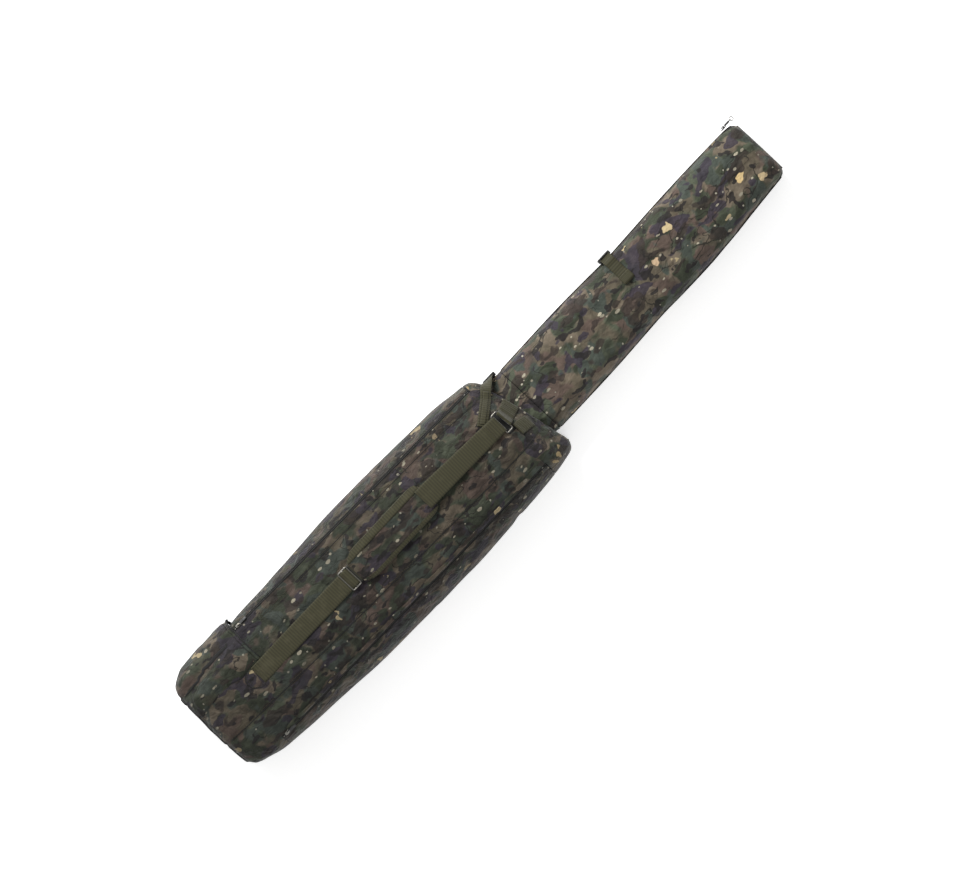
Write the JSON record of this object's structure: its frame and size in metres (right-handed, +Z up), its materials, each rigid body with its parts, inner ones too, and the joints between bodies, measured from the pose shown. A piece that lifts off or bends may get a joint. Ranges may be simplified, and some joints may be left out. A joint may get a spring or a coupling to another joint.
{
  "type": "rod case",
  "caption": "Padded camouflage holdall for made-up fishing rods, with a wide reel section, slim tip sleeve, zipped side lids and padded shoulder strap.",
  "frame": {"origin": "on the underside of the back panel, halfway along the case's length, on the line of the divider", "axes": "+X from the base to the rod tips, +Z up out of the strap side, +Y to the case's left"},
  "size_m": [1.9594, 0.3515, 0.2391],
  "materials": {
    "camo": "printed camouflage polyester, ripstop weave over foam",
    "lining": "matt padded nylon lining",
    "webbing": "woven olive polypropylene webbing",
    "zip": "black nylon coil and tape",
    "plastic": "black moulded acetal",
    "metal": "dark nickel plate"
  },
  "bodies": {
    "case": {"base_boot": "camo", "back_panel": "camo", "spine_panel": "camo", "neck_yoke": "camo", "divider_panel": "lining", "butt_pad": "lining", "rod_strap_left_rear": "webbing", "rod_strap_right_rear": "webbing", "rod_strap_left_middle": "webbing", "rod_strap_right_middle": "webbing", "rod_strap_left_front": "webbing", "rod_strap_right_front": "webbing", "sleeve_neck": "camo", "sleeve_back": "camo", "tip_pad": "lining", "zip_chain_left": "zip", "zip_chain_right": "zip", "zip_chain_sleeve": "zip", "pole_pocket": "camo", "pocket_hem": "zip", "strap_patch_base": "camo", "strap_webbing_lower": "webbing", "shoulder_pad_backing": "webbing", "shoulder_pad_face": "camo", "strap_webbing_upper": "webbing", "strap_anchor_neck": "webbing", "strap_tail": "webbing", "neck_strap_upper": "webbing", "neck_buckle_socket": "plastic"},
    "left_lid": {"left_lid": "camo"},
    "right_lid": {"right_lid": "camo"},
    "sleeve_lid": {"sleeve_front": "camo", "sleeve_strap_upper": "webbing", "sleeve_buckle_socket": "plastic"},
    "adjuster": {"strap_adjuster": "metal"},
    "ring": {"strap_ring": "metal"},
    "tip_slider": {"tip_slider": "plastic"},
    "tip_pull": {"tip_pull": "plastic"},
    "tip_ring": {"tip_pull_ring": "metal"},
    "left_slider": {"left_zip_slider": "plastic"},
    "left_pull": {"left_zip_pull": "plastic"},
    "right_slider": {"right_zip_slider": "plastic"},
    "right_pull": {"right_zip_pull": "plastic"},
    "sleeve_plug": {"sleeve_buckle_plug": "plastic", "sleeve_strap_lower": "webbing"},
    "neck_plug": {"neck_buckle_plug": "plastic", "neck_strap_lower": "webbing"}
  },
  "joints": [
    {"name": "left_lid_hinge", "type": "hinge", "parent": "case", "child": "left_lid", "pos_m": [0, 0.15984, 0.012], "axis": [-0.9997, 0.0255, 0], "range_deg": [0, 90]},
    {"name": "right_lid_hinge", "type": "hinge", "parent": "case", "child": "right_lid", "pos_m": [0, -0.18153, 0.012], "axis": [0.9999, -0.0165, 0], "range_deg": [0, 90]},
    {"name": "sleeve_lid_hinge", "type": "hinge", "parent": "case", "child": "sleeve_lid", "pos_m": [0.5, -0.0982, 0.052], "axis": [1, 0.0082, 0], "range_deg": [0, 105]},
    {"name": "adjuster_slide", "type": "slide", "parent": "case", "child": "adjuster", "axis": [-0.9997, 0, -0.0254], "range_m": [0, 0.25]},
    {"name": "ring_swing", "type": "hinge", "parent": "case", "child": "ring", "pos_m": [0.0575, 0.0135, 0.2175], "axis": [0, 1, 0], "range_deg": [0, 25]},
    {"name": "tip_slider_slide", "type": "slide", "parent": "case", "child": "tip_slider", "axis": [-1, 0, 0], "range_m": [0, 0.38]},
    {"name": "tip_pull_swing", "type": "hinge", "parent": "tip_slider", "child": "tip_pull", "pos_m": [0.947, 0.1101, 0.052], "axis": [0, 0, 1], "range_deg": [0, 95]},
    {"name": "tip_ring_swing", "type": "hinge", "parent": "tip_pull", "child": "tip_ring", "pos_m": [0.9729, 0.1101, 0.052], "axis": [0, 0, 1], "range_deg": [-25, 25]},
    {"name": "left_slider_slide", "type": "slide", "parent": "case", "child": "left_slider", "axis": [0.9997, -0.0255, 0], "range_m": [0, 0.77]},
    {"name": "left_pull_swing", "type": "hinge", "parent": "left_slider", "child": "left_pull", "pos_m": [-0.744, 0.14566, 0.19331], "axis": [-0.0239, -0.9391, 0.3428], "range_deg": [0, 95]},
    {"name": "right_slider_slide", "type": "slide", "parent": "case", "child": "right_slider", "axis": [0.9999, -0.0165, 0], "range_m": [0, 0.88]},
    {"name": "right_pull_swing", "type": "hinge", "parent": "right_slider", "child": "right_pull", "pos_m": [-0.852, -0.12052, 0.19331], "axis": [-0.0155, -0.9393, -0.3429], "range_deg": [0, 95]},
    {"name": "sleeve_buckle_release", "type": "slide", "parent": "case", "child": "sleeve_plug", "axis": [0, 0, -1], "range_m": [0, 0.0205], "deforming": ["sleeve_strap_lower"]},
    {"name": "neck_buckle_release", "type": "slide", "parent": "case", "child": "neck_plug", "axis": [0, 0, -1], "range_m": [0, 0.0215], "deforming": ["neck_strap_lower"]}
  ]
}
